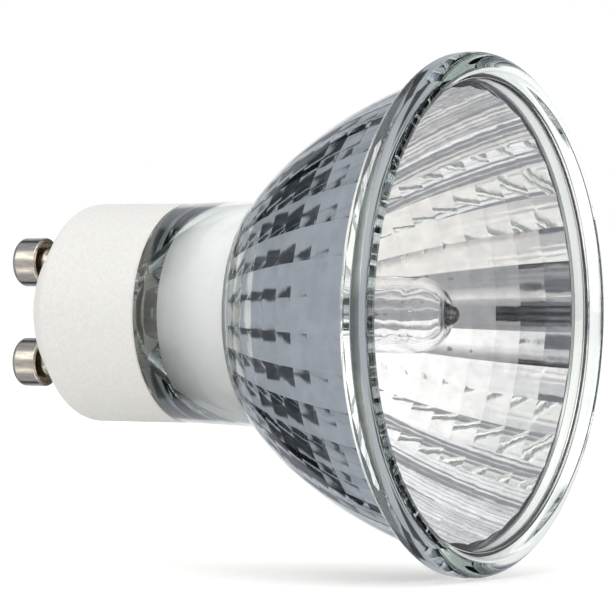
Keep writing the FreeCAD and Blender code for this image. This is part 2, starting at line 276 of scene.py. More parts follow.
# The same cement behind the neck, made pale grey as painted shade for the shade inside the neck;
# darker still through glass.
NECK_SHADED_CEMENT = Finish(
    "silicate_cement_painted_shade", "#B2B5B5", Grain(0.6, 0.04, "#9A9D9E", detail=4.0), 0.8, ior=1.48)
# Silicone adhesive, run in and cured: mid-grey, smooth and a little glossy.
SILICONE = Finish(
    "silicone_adhesive", "#6F7678", Grain(1.2, 0.01, "#5C6365"), 0.35, ior=1.41,
    subsurface_mm=0.2)
# Tungsten wire, drawn and coiled: dark grey with a dull shine.
TUNGSTEN = Finish(
    "tungsten_wire", "#6A6A6E", Grain(0.05, 0.002, "#4A4A4E", stretch=4.0), 0.4, metallic=1.0)
# Molybdenum wire and foil, drawn and rolled: grey with fine lines.
MOLYBDENUM = Finish(
    "molybdenum", "#B6B3AF", Grain(0.08, 0.002, "#8E8B88", stretch=8.0), 0.3, metallic=1.0)
# Nickel wire, drawn: warm grey.
NICKEL_WIRE = Finish(
    "nickel_wire", "#C4C0B7", Grain(0.1, 0.002, "#9E9A91", stretch=8.0), 0.3, metallic=1.0)
# Copper wire, drawn and a little tarnished: brown-red with dark lines.
COPPER_WIRE = Finish(
    "copper_wire", "#D08A5E", Grain(0.1, 0.002, "#8A4F30", stretch=8.0), 0.32, metallic=1.0)
# Glass fibre yarn, braided: off-white with a soft sheen.
GLASS_FIBRE = Finish(
    "braided_glass_fibre", "#E9E4D6", Grain(0.12, 0.03, "#C8C1AE", stretch=2.0), 0.7, ior=1.5,
    sheen=0.3)


@dataclass(frozen=True)
class Ring:
    """One ring of points round the lamp's axis.

    Attributes:
        y: Place along the axis in millimetres.
        radius: Radius in millimetres, or a function of the angle from +X towards +Z.
        coat: What lies on the faces from this ring to the next.
        crease: Whether the ring itself is a sharp edge.
        fluted: Whether grooves run on from this ring to the next.
    """

    y: float
    radius: Radius
    coat: Coat = Coat.CLEAR
    crease: bool = False
    fluted: bool = False

    def reach(self, angle: float) -> float:
        """Radius at this angle."""
        return self.radius(angle) if callable(self.radius) else self.radius


def rounded(corners: Sequence[tuple], chords: int) -> Profile:
    """Points through corners given as (radius, y) or (radius, y, rounding).

    Args:
        corners: The corners in order. The first and last are never rounded.
        chords: Number of chords in each rounding.

    Returns:
        Points as (radius, y), in millimetres.
    """
    points: Profile = []
    for i, corner in enumerate(corners):
        here = Vector(corner[:2])
        if len(corner) < 3 or i in (0, len(corners) - 1):
            points.append(tuple(here))
            continue
        before = (Vector(corners[i - 1][:2]) - here).normalized()
        after = (Vector(corners[i + 1][:2]) - here).normalized()
        half = before.angle(after) / 2
        bisector = (before + after).normalized()
        centre = here + bisector * (corner[2] / sin(half))
        first = here + before * (corner[2] * cos(half) / sin(half)) - centre
        last = here + after * (corner[2] * cos(half) / sin(half)) - centre
        sweep = first.angle(last)
        for k in range(chords + 1):
            share = sweep * k / chords
            spoke = (first * sin(sweep - share) + last * sin(share)) / sin(sweep)
            points.append(tuple(centre + spoke))
    return points


def rings_of(points: Profile) -> list[Ring]:
    """Plain rings for the points of an outline."""
    return [Ring(y, radius) for radius, y in points]


def boxed(half_x: float, half_z: float) -> Shape:
    """Radius of a rectangle about the axis, as a function of the angle.

    Args:
        half_x: Half its size along X, in millimetres.
        half_z: Half its size along Z, in millimetres.

    Returns:
        A function from the angle to the radius.
    """
    def reach(angle: float) -> float:
        """Radius where the ray at this angle leaves the rectangle."""
        along_x = abs(cos(angle)) or 1e-9
        along_z = abs(sin(angle)) or 1e-9
        return min(half_x / along_x, half_z / along_z)
    return reach


def blended(circle: float, form: Shape, share: float) -> Shape:
    """A radius part of the way from a circle to another form.

    Args:
        circle: The circle's radius in millimetres.
        form: The other form's radius, as a function of the angle.
        share: How far the result has gone to the other form, from 0 to 1.

    Returns:
        A function from the angle to the radius.
    """
    def reach(angle: float) -> float:
        """Radius between the two at this angle."""
        return circle + (form(angle) - circle) * share
    return reach


def sharpen(mesh: bpy.types.Mesh, rings: Sequence[Ring], segments: int,
            flute_segments: int) -> None:
    """Marks creased rings and the grooves between flutes as sharp edges.

    Args:
        mesh: The turned mesh, its points in the order of the rings.
        rings: The rings in order.
        segments: Points on each ring.
        flute_segments: Points across one flute, or 0 where there are none.
    """
    half = flute_segments // 2
    for edge in mesh.edges:
        first, second = sorted(edge.vertices)
        ring, other = first // segments, second // segments
        if other >= len(rings):
            continue
        if ring == other:
            edge.use_edge_sharp = rings[ring].crease
        elif rings[ring].fluted and half:
            edge.use_edge_sharp = first % segments % flute_segments == half


def lathe(name: str, rings: Sequence[Ring], segments: int, closed: bool,
          flute_segments: int = 0) -> bpy.types.Object:
    """Builds a mesh from rings round the Y axis. Rings in order of rising y face outward.

    Args:
        name: Object name.
        rings: The rings in order.
        segments: Points on each ring.
        closed: Whether the last ring joins the first. Otherwise the ends are capped on the axis.
        flute_segments: Points across one flute, for the sharp grooves between flutes.

    Returns:
        The new object, linked to the scene.
    """
    vertices: list[Triple] = []
    for ring in rings:
        for k in range(segments):
            angle = tau * k / segments
            reach = ring.reach(angle) * MM
            vertices.append((reach * cos(angle), ring.y * MM, reach * sin(angle)))
    faces: list[tuple[int, ...]] = []
    coats: list[int] = []
    for i in range(len(rings) if closed else len(rings) - 1):
        near, far = i * segments, (i + 1) % len(rings) * segments
        for k in range(segments):
            after = (k + 1) % segments
            faces.append((near + k, far + k, far + after, near + after))
            coats.append(int(rings[i].coat))
    for i, turn in () if closed else ((0, 1), (len(rings) - 1, -1)):
        hub, base = len(vertices), i * segments
        vertices.append((0.0, rings[i].y * MM, 0.0))
        for k in range(segments):
            faces.append((hub, *(base + k, base + (k + 1) % segments)[::turn]))
            coats.append(int(rings[i].coat))
    mesh = bpy.data.meshes.new(name)
    mesh.from_pydata(vertices, [], faces)
    mesh.polygons.foreach_set("material_index", coats)
    mesh.polygons.foreach_set("use_smooth", [True] * len(faces))
    sharpen(mesh, rings, segments, flute_segments)
    mesh.update()
    made = bpy.data.objects.new(name, mesh)
    bpy.context.scene.collection.objects.link(made)
    return made


def join(keep: bpy.types.Object, extra: bpy.types.Object) -> None:
    """Adds one mesh to another and removes the spare object."""
    with bpy.context.temp_override(active_object=keep, selected_editable_objects=[keep, extra]):
        bpy.ops.object.join()


def dress(piece: bpy.types.Object, slot: Slot, *finishes: Finish) -> None:
    """Puts materials on a piece.

    Args:
        piece: The object to dress.
        slot: The record's material slot; not used.
        finishes: One finish for each material number of its faces.
    """
    for finish in finishes:
        piece.data.materials.append(finish.material())


def seat(piece: bpy.types.Object, node: str) -> None:
    """Lets a piece ride on the lamp and stand for a CAD node.

    Args:
        piece: The object.
        node: The node that it replaces.
    """
    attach(piece, "root")
    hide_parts(node)
    log.info("%s stands for %s", piece.name, node)


@dataclass(frozen=True)
class Places:
    """Places along the axis in millimetres, from the rear face of the ceramic base.

    Attributes:
        front, rim_rear: Front of the lamp and rear edge of its rim.
        cover_front, cover_rear: Faces of the cover disc.
        flute_front, bowl_rear: Front end of the flutes and rear face of the bowl.
        base_front, spigot_rear: Front of the ceramic base and rear end of the glass in it.
        pinch_front, pinch_rear: Ends of the capsule's flat pinch.
        capsule_front, capsule_dome: The capsule's tip and the centre of its dome.
    """

    front: float = -47.5
    rim_rear: float = -44.8
    cover_front: float = -46.6
    cover_rear: float = -45.3
    flute_front: float = -44.15
    bowl_rear: float = -25.0
    base_front: float = -14.0
    spigot_rear: float = -6.7
    pinch_front: float = -17.1
    pinch_rear: float = -7.5
    capsule_front: float = -43.1
    capsule_dome: float = -38.4


@dataclass
class Reflector:
    """Pressed glass reflector: clear outside, mirror coat on its flutes and funnel.

    All lengths are in millimetres.

    Attributes:
        at: Places along the axis.
        rim_radius, rim_front_round, rim_rear_round: The rim and its two outer edges.
        bowl_front_radius, bowl_rear_radius: The bowl's outside at the rim and at the neck.
        bowl_centre_ahead: How far the centre of its ellipse lies in front of the lamp.
        bowl_wall: Thickness of the glass behind the rim.
        lip_depth, lip_round: The bevelled lip round the rear face of the bowl.
        neck_front_radius, neck_front_wall, neck_fillet: The neck where it leaves the bowl.
        neck_rear_radius: The neck at the ceramic base.
        spigot_radius, spigot_flat_width, spigot_chamfer: The glass inside the base.
        cement_film: Gap between the glass and the cement.
        flute_count, flute_rings: Flutes round the mirror, and facets along one flute.
        flute_rise: How far a flute bulges inward at the front.
        land_radius: The plain ring in front of the flutes.
        seat_radius, ledge_gap: Wall round the cover disc and bead, and the gap behind them.
        funnel_front_radius, funnel_rear_radius, funnel_round: The funnel behind the flutes.
        satin_rear: Place along the axis where the coat of the funnel ends.
        pinch_stand: How far the slot's front lies behind the front of the pinch.
        slot_width, slot_thickness: The slot for the pinch.
        rim_chords, neck_chords, funnel_chords: Chords in each rounding there.
        ellipse_rows, funnel_rows: Rows of faces along the bowl and along the funnel.
        flute_segments: Points across one flute.
        centre, lip: Places of the ellipses' centre and of the lip, worked out.
        half_length, half_width: Half axes of the ellipse outside, worked out.
        mirror_half_length, mirror_half_width: Half axes of the mirror's ellipse, worked out.
    """

    at: Places
    rim_radius: float = 25.0
    rim_front_round: float = 1.5
    rim_rear_round: float = 0.6
    bowl_front_radius: float = 23.45
    bowl_rear_radius: float = 13.35
    bowl_centre_ahead: float = 18.4
    bowl_wall: float = 1.45
    lip_depth: float = 0.9
    lip_round: float = 0.45
    neck_front_radius: float = 11.2
    neck_front_wall: float = 0.9
    neck_fillet: float = 0.8
    neck_rear_radius: float = 10.77
    spigot_radius: float = 8.9
    spigot_flat_width: float = 14.6
    spigot_chamfer: float = 0.6
    cement_film: float = 0.03
    flute_count: int = 38
    flute_rings: int = 11
    flute_rise: float = 0.18
    land_radius: float = 22.5
    seat_radius: float = 22.98
    ledge_gap: float = 0.03
    funnel_front_radius: float = 9.0
    funnel_rear_radius: float = 3.4
    funnel_round: float = 1.2
    satin_rear: float = -15.8
    pinch_stand: float = 4.0
    slot_width: float = 5.8
    slot_thickness: float = 3.4
    rim_chords: int = 9
    neck_chords: int = 7
    funnel_chords: int = 8
    ellipse_rows: int = 44
    funnel_rows: int = 12
    flute_segments: int = 8
    centre: float = field(init=False)
    lip: float = field(init=False)
    half_length: float = field(init=False)
    half_width: float = field(init=False)
    mirror_half_length: float = field(init=False)
    mirror_half_width: float = field(init=False)

    def __post_init__(self) -> None:
        """Works out the ellipses of the bowl's outside and of its mirror."""
        self.centre = self.at.front - self.bowl_centre_ahead
        self.lip = self.at.bowl_rear - self.lip_depth
        self.half_length, self.half_width = self.ellipse_through(
            self.lip, self.bowl_front_radius, self.bowl_rear_radius)
        self.mirror_half_length, self.mirror_half_width = self.ellipse_through(
            self.at.bowl_rear, self.bowl_front_radius - self.bowl_wall,
            self.neck_front_radius - self.neck_front_wall)

    def ellipse_through(self, rear_y: float, front_radius: float,
                        rear_radius: float) -> tuple[float, float]:
        """Half-length and half-width of an ellipse on the bowl's centre.

        Args:
            rear_y: Place of its rear circle along the axis.
            front_radius: Radius at the rear of the rim.
            rear_radius: Radius of the rear circle.

        Returns:
            Half-length and half-width in millimetres.
        """
        front, rear = self.at.rim_rear - self.centre, rear_y - self.centre
        slope = (front_radius ** 2 - rear_radius ** 2) / (rear ** 2 - front ** 2)
        half_width = sqrt(front_radius ** 2 + slope * front ** 2)
        return half_width / sqrt(slope), half_width

    def outer_points(self) -> Profile:
        """Outline of the clear outside.

        Returns:
            Points from the wall round the cover disc to the rear end of the neck.
        """
        rim = rounded([
            (self.seat_radius, self.at.front),
            (self.rim_radius, self.at.front, self.rim_front_round),
            (self.rim_radius, self.at.rim_rear, self.rim_rear_round),
            (self.bowl_front_radius, self.at.rim_rear)], self.rim_chords)
        first = acos((self.at.rim_rear - self.centre) / self.half_length)
        last = acos((self.lip - self.centre) / self.half_length)
        bowl = []
        for k in range(1, self.ellipse_rows + 1):
            angle = first + (last - first) * k / self.ellipse_rows
            y = self.centre + self.half_length * cos(angle)
            bowl.append((self.half_width * sin(angle), y))
        neck = rounded([
            bowl[-1],
            (self.bowl_rear_radius - self.lip_depth, self.at.bowl_rear, self.lip_round),
            (self.neck_front_radius, self.at.bowl_rear, self.neck_fillet),
            (self.neck_rear_radius, self.at.base_front - self.cement_film)], self.neck_chords)
        return rim + bowl + neck[1:]

    def spigot_rings(self) -> list[Ring]:
        """The spigot with its two flats, inside the ceramic.

        Returns:
            Rings from the front of the base to the rear end of the glass.
        """
        radius_in_cement = self.spigot_radius - self.cement_film
        flats = boxed(self.spigot_flat_width / 2 - self.cement_film, self.spigot_radius * 2)
        rings = []
        for radius, y in (
                (radius_in_cement, self.at.base_front - self.cement_film),
                (radius_in_cement, self.at.spigot_rear - self.spigot_chamfer),
                (radius_in_cement - self.spigot_chamfer, self.at.spigot_rear)):
            rings.append(Ring(y, lambda angle, r=radius: min(r, flats(angle)), crease=True))
        return rings

    def flute_radius(self, y: float) -> Shape:
        """Radius of the mirror across the flutes, which bulge inward between their grooves.

        Args:
            y: Place along the axis.

        Returns:
            A function from the angle to the radius.
        """
        along = (y - self.centre) / self.mirror_half_length
        radius = self.mirror_half_width * sqrt(1 - along ** 2)
        rise = self.flute_rise * radius / self.land_radius
        step = tau / self.flute_count

        def reach(angle: float) -> float:
            """Radius at this angle, largest in the grooves."""
            off = (angle / step + 0.5) % 1.0 - 0.5
            return radius - rise * (1 - (2 * off) ** 2)
        return reach

    def mirror_ends(self) -> tuple[float, float]:
        """Ellipse angles where the flutes end at the front and at the rear."""
        rear = asin(self.funnel_front_radius / self.mirror_half_width)
        return acos((self.at.flute_front - self.centre) / self.mirror_half_length), rear

    def funnel_rings(self) -> list[Ring]:
        """Slot and funnel.

        Returns:
            Rings from the rear end of the glass to the rear of the flutes.
        """
        slot = boxed(self.slot_thickness / 2, self.slot_width / 2)
        funnel_front = self.centre + self.mirror_half_length * cos(self.mirror_ends()[1])
        funnel_rear = self.at.pinch_front + self.pinch_stand
        bowl = rounded([
            (self.funnel_rear_radius - self.funnel_round, funnel_rear),
            (self.funnel_rear_radius, funnel_rear - self.funnel_round, self.funnel_round),
            (self.funnel_front_radius, funnel_front)], self.funnel_chords)
        rings = [Ring(self.at.spigot_rear, slot, crease=True),
                 Ring(funnel_rear, slot, crease=True)]
        for near, far in zip(bowl, bowl[1:]):
            rows = self.funnel_rows if far == bowl[-1] else 1
            for j in range(rows):
                radius = near[0] + (far[0] - near[0]) * j / rows
                y = near[1] + (far[1] - near[1]) * j / rows
                coat = Coat.SATIN if y < self.satin_rear else Coat.CLEAR
                rings.append(Ring(y, lambda angle, r=radius: max(r, slot(angle)), coat))
        rings.append(Ring(funnel_front, self.funnel_front_radius, Coat.SATIN, True))
        return rings

    def facet_rings(self) -> list[Ring]:
        """The mirror's facets.

        Returns:
            Rings from the funnel to the front end of the flutes.
        """
        front, rear = self.mirror_ends()
        rings = []
        for k in range(self.flute_rings + 1):
            angle = rear + (front - rear) * k / self.flute_rings
            y = self.centre + self.mirror_half_length * cos(angle)
            rings.append(Ring(y, self.flute_radius(y), Coat.MIRROR, True, k < self.flute_rings))
        return rings

    def build(self) -> None:
        """Makes the glass body and dresses it."""
        ledge = self.at.cover_rear + self.ledge_gap
        front_land = [
            Ring(self.at.flute_front, self.land_radius, crease=True),
            Ring(ledge, self.land_radius, crease=True),
            Ring(ledge, self.seat_radius, crease=True)]
        rings = (rings_of(self.outer_points()) + self.spigot_rings() + self.funnel_rings()
                 + self.facet_rings() + front_land)
        body = lathe("reflector_glass_body", rings, self.flute_count * self.flute_segments, True,
                     self.flute_segments)
        dress(body, Slot.REFLECTOR, PRESSED_GLASS, MIRROR_COAT, SATIN_COAT)
        seat(body, "reflector")


@dataclass
class Cover:
    """Clear disc that closes the front. All lengths are in millimetres.

    Attributes:
        at: Places along the axis.
        radius: Radius of the disc.
        edge_inset, edge_round: Width of its edges, and the rounding within it.
        edge_chords: Chords in each rounding.
        segments: Points round the disc.
    """

    at: Places
    radius: float = 22.67
    edge_inset: float = 0.25
    edge_round: float = 0.225
    edge_chords: int = 4
    segments: int = 192

    def build(self) -> None:
        """Makes the disc with rounded edges and flat faces."""
        inner = self.radius - self.edge_inset
        rings = rings_of(rounded([
            (inner, self.at.cover_front),
            (self.radius, self.at.cover_front, self.edge_round),
            (self.radius, self.at.cover_rear, self.edge_round),
            (inner, self.at.cover_rear)], self.edge_chords))
        rings[0] = Ring(self.at.cover_front, inner, crease=True)
        rings[-1] = Ring(self.at.cover_rear, inner, crease=True)
        disc = lathe("cover_disc", rings, self.segments, False)
        dress(disc, Slot.COVER, FLOAT_GLASS)
        seat(disc, "cover_glass")


@dataclass
class Capsule:
    """Quartz capsule: dome with its exhaust tip, tube, shoulder and pinch.

    All lengths are in millimetres.

    Attributes:
        at: Places along the axis.
        radius, wall: The tube and its wall.
        tip_radius, tip_sweep: Ball of the exhaust tip, and the share of a quarter that shows.
        tip_base, tip_hollow: Where the tip's root meets the dome, and how hollow the root is.
        shoulder: Length over which the tube turns into the pinch.
        bore_waist, bore_waist_round: Narrow rear end of the bore, and its rounding.
        pinch_width, pinch_thickness: Section of the flat pinch.
        segments: Points round the capsule.
        dome_rows, tip_rows, root_rows, shoulder_rows: Rows of faces along each part.
        bore_chords: Chords in each rounding of the bore.
    """

    at: Places
    radius: float = 3.7
    wall: float = 0.95
    tip_radius: float = 0.95
    tip_sweep: float = 0.85
    tip_base: float = 1.9
    tip_hollow: float = 0.12
    shoulder: float = 3.0
    bore_waist: float = 1.2
    bore_waist_round: float = 0.3
    pinch_width: float = 5.2
    pinch_thickness: float = 2.7
    segments: int = 96
    dome_rows: int = 18
    tip_rows: int = 8
    root_rows: int = 6
    shoulder_rows: int = 12
    bore_chords: int = 6

    def dome(self, radius: float) -> Profile:
        """A quarter circle.

        Args:
            radius: Its radius in millimetres.

        Returns:
            Points from the axis to the tube.
        """
        points = []
        for k in range(self.dome_rows + 1):
            angle = pi / 2 * k / self.dome_rows
            y = self.at.capsule_dome - radius * cos(angle)
            points.append((max(radius * sin(angle), AXIS_GAP), y))
        return points

    def outside(self) -> list[Ring]:
        """The capsule's outside.

        Returns:
            Rings from the tip to the rear of the pinch.
        """
        tip_centre = self.at.capsule_front + self.tip_radius
        points = []
        for k in range(self.tip_rows + 1):
            angle = pi / 2 * k / self.tip_rows * self.tip_sweep
            y = tip_centre - self.tip_radius * cos(angle)
            points.append((max(self.tip_radius * sin(angle), AXIS_GAP), y))
        dome = [point for point in self.dome(self.radius) if point[0] > self.tip_base]
        first, last = Vector(points[-1]), Vector(dome[0])
        for k in range(1, self.root_rows):
            share = k / self.root_rows
            sag = self.tip_hollow * sin(pi * share)
            between = first.lerp(last, share)
            points.append((between.x - sag, between.y + sag))
        rings = rings_of(points + dome)
        shoulder_front = self.at.pinch_front - self.shoulder
        flat = boxed(self.pinch_thickness / 2, self.pinch_width / 2)
        for k in range(self.shoulder_rows + 1):
            share = k / self.shoulder_rows
            ease = share * share * (3 - 2 * share)
            y = shoulder_front + self.shoulder * share
            rings.append(Ring(y, blended(self.radius, flat, ease)))
        rings.append(Ring(self.at.pinch_rear, flat, crease=True))
        return rings

    def bore(self) -> list[Ring]:
        """The capsule's hollow.

        Returns:
            Rings from its rear end to the dome.
        """
        inner = self.radius - self.wall
        bore_rear = self.at.pinch_front - self.wall / 2
        points = rounded([
            (AXIS_GAP, bore_rear),
            (self.bore_waist, bore_rear, self.bore_waist_round),
            (inner, self.at.pinch_front - self.shoulder, self.shoulder / 2),
            (inner, self.at.capsule_dome)], self.bore_chords)
        return rings_of(points + self.dome(inner)[::-1][1:])

    def build(self) -> None:
        """Makes the quartz with its hollow as one piece."""
        shell = lathe("quartz_capsule", self.outside(), self.segments, False)
        hollow = lathe("quartz_bore", self.bore(), self.segments, False)
        join(shell, hollow)
        dress(shell, Slot.CAPSULE, FUSED_QUARTZ)
        seat(shell, "capsule")


@dataclass
class Filament:
    """Coiled tungsten hairpin about the mirror's focus. All lengths are in millimetres.

    Attributes:
        front, rear: Places along the axis where the front bend starts and the legs end.
        spread: Distance between the two legs.
        coil_radius, wire_radius, pitch: The coil, its wire and the distance between turns.
        points_per_turn: Points on one turn of the coil.
    """

    front: float = -32.59
    rear: float = -23.34
    spread: float = 2.5
    coil_radius: float = 0.33
    wire_radius: float = 0.05
    pitch: float = 0.17
    points_per_turn: int = 10

    def spine(self, share: float) -> tuple[Vector, Vector]:
        """Point and heading on the hairpin's centre line.

        Args:
            share: How far along the line, from 0 to 1.

        Returns:
            The point in millimetres and the unit heading.
        """
        leg = self.rear - self.front
        bend = pi * self.spread / 2
        run = share * (2 * leg + bend)
        half = self.spread / 2
        if run < leg:
            return Vector((0, self.rear - run, -half)), Vector((0, -1, 0))
        if run < leg + bend:
            turn = (run - leg) / half
            return (Vector((0, self.front - half * sin(turn), -half * cos(turn))),
                    Vector((0, -cos(turn), sin(turn))))
        return Vector((0, self.front + run - leg - bend, half)), Vector((0, 1, 0))

    def build(self) -> None:
        """Winds the coil as a round wire."""
        length = 2 * (self.rear - self.front) + pi * self.spread / 2
        count = int(length / self.pitch * self.points_per_turn)
        curve = bpy.data.curves.new("tungsten_coil", "CURVE")
        curve.dimensions = "3D"
        curve.bevel_depth = self.wire_radius * MM
        curve.bevel_resolution = 1
        line = curve.splines.new("POLY")
        line.points.add(count - 1)
        side = Vector((1, 0, 0))
        for k in range(count):
            centre, heading = self.spine(k / (count - 1))
            turn = tau * k / self.points_per_turn
            spoke = side * cos(turn) + heading.cross(side) * sin(turn)
            line.points[k].co = (*((centre + spoke * self.coil_radius) * MM), 1.0)
        coil = bpy.data.objects.new("tungsten_coil", curve)
        bpy.context.scene.collection.objects.link(coil)
        dress(coil, Slot.FILAMENT, TUNGSTEN)
        seat(coil, "filament")


@dataclass
class FramePieces:
    """CAD solids that stay as they are and only get their materials.

    Attributes:
        finishes: The finish of each node.
    """

    finishes: dict[str, Finish] = field(default_factory=lambda: {
        "ceramic_base": STEATITE,
        "contact_pin_upper": NICKEL_PLATE,
        "contact_pin_lower": NICKEL_PLATE,
        # The base cement's pale grey is painted shade from inside the neck, not a different
        # cement.
        "base_cement": NECK_SHADED_CEMENT,
        "pinch_cement": CEMENT,
        "cover_bead": SILICONE,
        "filament_support": MOLYBDENUM,
        "inner_lead_upper": MOLYBDENUM,
        "inner_lead_lower": MOLYBDENUM,
        "foil_upper": MOLYBDENUM,
        "foil_lower": MOLYBDENUM,
        "outer_lead_upper": MOLYBDENUM,
        "outer_lead_lower": MOLYBDENUM,
        "fuse_stub": NICKEL_WIRE,
        "supply_wire_upper": NICKEL_WIRE,
        "supply_wire_lower": NICKEL_WIRE,
        "fuse_wire": COPPER_WIRE,
        "fuse_sleeve": GLASS_FIBRE})

    def build(self) -> None:
        """Assigns each node's material."""
        for name, finish in self.finishes.items():
            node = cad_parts[name]
            node.data.materials.clear()
            node.data.materials.append(finish.material())
            log.info("%s keeps its solid, in %s", name, finish.name)


@dataclass(frozen=True)
class Zone:
    """Directions round one line of sight, or away from it where full is below start.

    Attributes:
        toward: Where the line points.
        start: Cosine of the angle to the line at which the zone starts to fade in.
        full: Cosine at which it is full.
    """

    toward: Triple
    start: float
    full: float


@dataclass(frozen=True)
class Patch:
    """A patch of the studio's walls.

    Attributes:
        colour: Its linear colour, above one where a light falls on it or shines in it.
        zones: The zones that it lies in, all at once.
    """

    colour: Colour
    zones: tuple[Zone, ...]

    def share(self, tree: bpy.types.NodeTree, way: Socket) -> Socket:
        """How far a direction lies in the patch.

        Args:
            tree: The node tree that gets the nodes.
            way: The direction.

        Returns:
            A number from 0 to 1.
        """
        shares = []
        for zone in self.zones:
            dot = add_node(tree, "ShaderNodeVectorMath", {"operation": "DOT_PRODUCT"}, {
                0: way, 1: Vector(zone.toward).normalized()})
            ramp = add_node(tree, "ShaderNodeMapRange", {"interpolation_type": "SMOOTHSTEP"}, {
                "Value": dot.outputs["Value"], "From Min": zone.start, "From Max": zone.full})
            shares.append(ramp.outputs["Result"])
        whole = shares[0]
        for share in shares[1:]:
            whole = add_node(tree, "ShaderNodeMath", {"operation": "MULTIPLY"}, {
                0: whole, 1: share}).outputs["Value"]
        return whole


@dataclass(frozen=True)
class Surround:
    """Colours all round the lamp.

    Attributes:
        base: Linear colour where no patch lies.
        patches: Patches in the order in which they are laid over it.
    """

    base: Colour
    patches: tuple[Patch, ...]

    def colour(self, tree: bpy.types.NodeTree, way: Socket) -> Socket:
        """Adds the nodes for the colour in a direction, and returns it."""
        return layered(tree, self.base, [(p.share(tree, way), p.colour) for p in self.patches])


ABOVE: Triple = (0.0, 0.0, 1.0)
BELOW: Triple = (0.0, 0.0, -1.0)
TO_BACKDROP: Triple = (0.866, 0.5, 0.0)
TO_CAMERA: Triple = (-0.866, -0.5, 0.0)
WHITE: Colour = (1.0, 1.0, 1.0, 1.0)
BLACK: Colour = (0.0, 0.0, 0.0, 1.0)
WALL = linear("#A8ABB3")
BACKDROP_SIDE = Zone(TO_BACKDROP, 0.44, 0.50)
CAMERA_SIDE = Zone(TO_CAMERA, 0.12, 0.25)

# What metal and glass reflect. Its steps give the mirror its pale and dark facets.
REFLECTED = Surround(WALL, (
    # Dark, pale and dark bands above and below the backdrop, for the flutes' dark steps.
    *(patch for side in (ABOVE, BELOW) for patch in (
        Patch(linear("#34373C"), (BACKDROP_SIDE, Zone(side, 0.23, 0.28))),
        Patch(WALL, (BACKDROP_SIDE, Zone(side, 0.50, 0.54))),
        Patch(linear("#33363A"), (BACKDROP_SIDE, Zone(side, 0.64, 0.68))))),
    # A paler wall round the backdrop.
    Patch(linear("#B4B7BD"), (Zone(TO_BACKDROP, 0.80, 0.84),)),
    # The wall behind the camera, with a bright ceiling over it and a bright table under it.
    Patch(linear("#C4C4C5"), (CAMERA_SIDE,)),
    Patch((1.62, 1.60, 1.56, 1.0), (CAMERA_SIDE, Zone(ABOVE, 0.10, 0.30))),
    Patch((1.34, 1.29, 1.22, 1.0), (CAMERA_SIDE, Zone(BELOW, 0.30, 0.50))),
    # A dark screen, so that the cover disc reflects nothing bright.
    Patch((0.06, 0.06, 0.065, 1.0), (Zone((0.866, -0.5, 0.0), 0.965, 0.985),)),
    # Three gaps between the screens, for the dark stripes in the far side of the mirror.
    Patch(BLACK, (Zone((-0.977, -0.21, 0.0), 0.987, 0.989),)),
    Patch(BLACK, (Zone((-0.91, -0.16, -0.37), 0.9955, 0.9975),)),
    Patch(BLACK, (Zone((-0.91, -0.15, 0.37), 0.9955, 0.9975),)),
    # The backdrop itself.
    Patch(WHITE, (Zone(TO_BACKDROP, 0.95, 0.98),))))
# The plain pale light on matt surfaces.
SKY = Surround((0.88, 0.88, 0.88, 1.0), (
    Patch((0.98, 0.98, 0.97, 1.0), (Zone(ABOVE, 0.1, 0.9),)),))
# The same under glass. It is brighter above, because it stands in for the soft boxes there:
# the path tracer doesn't carry their light through glass.
SKY_UNDER_GLASS = Surround((0.90, 0.91, 1.00, 1.0), (
    Patch((2.40, 2.38, 2.36, 1.0), (Zone(ABOVE, -0.2, 0.4),)),))
# What the camera sees through glass: white, but grey where a thick edge bends the view aside.
SEEN_THROUGH_GLASS = Surround(WHITE, (
    Patch(linear("#4A4E50"), (Zone(TO_BACKDROP, 0.72, 0.50), Zone(TO_CAMERA, 0.35, 0.10))),))


def ray_kinds(tree: bpy.types.NodeTree) -> dict[str, Socket]:
    """Sorts rays by what they have met.

    Args:
        tree: The node tree that gets the nodes.

    Returns:
        Sockets by name. "straight" is 1 for the camera's rays, also through clear glass,
        "mirrored" is 1 for rays turned by metal or glass before any matt surface, and the
        light path's own outputs keep their names.
    """
    kinds = {socket.name: socket for socket in add_node(tree, "ShaderNodeLightPath").outputs}
    for name, operation, first, second in (
            ("before matt", "LESS_THAN", "Diffuse Depth", HALF_BOUNCE),
            ("before gloss", "LESS_THAN", "Glossy Depth", HALF_BOUNCE),
            ("direct", "MULTIPLY", "before matt", "before gloss"),
            ("through", "MULTIPLY", "Is Transmission Ray", "direct"),
            ("straight", "MAXIMUM", "Is Camera Ray", "through"),
            ("turned", "MAXIMUM", "Is Glossy Ray", "Is Transmission Ray"),
            ("turned first", "MULTIPLY", "turned", "before matt"),
            ("mirrored", "SUBTRACT", "turned first", "through")):
        kinds[name] = add_node(tree, "ShaderNodeMath", {"operation": operation}, {
            0: kinds[first], 1: kinds.get(second, second)}).outputs["Value"]
    return kinds


@dataclass(frozen=True)
class SoftBox:
    """A square soft box that points at the lamp.

    Attributes:
        name: Object name.
        place: Its centre in metres.
        size: Length of its side in metres.
        watts: Its power.
    """

    name: str
    place: Triple
    size: float
    watts: float

    def hang(self) -> None:
        """Makes the light. Metal and glass don't show it, because they show the walls."""
        data = bpy.data.lights.new(self.name, "AREA")
        data.size = self.size
        data.energy = self.watts
        box = bpy.data.objects.new(self.name, data)
        box.visible_glossy = box.visible_transmission = False
        box.location = self.place
        box.rotation_euler = (-Vector(self.place)).to_track_quat("-Z", "Y").to_euler()
        bpy.context.scene.collection.objects.link(box)


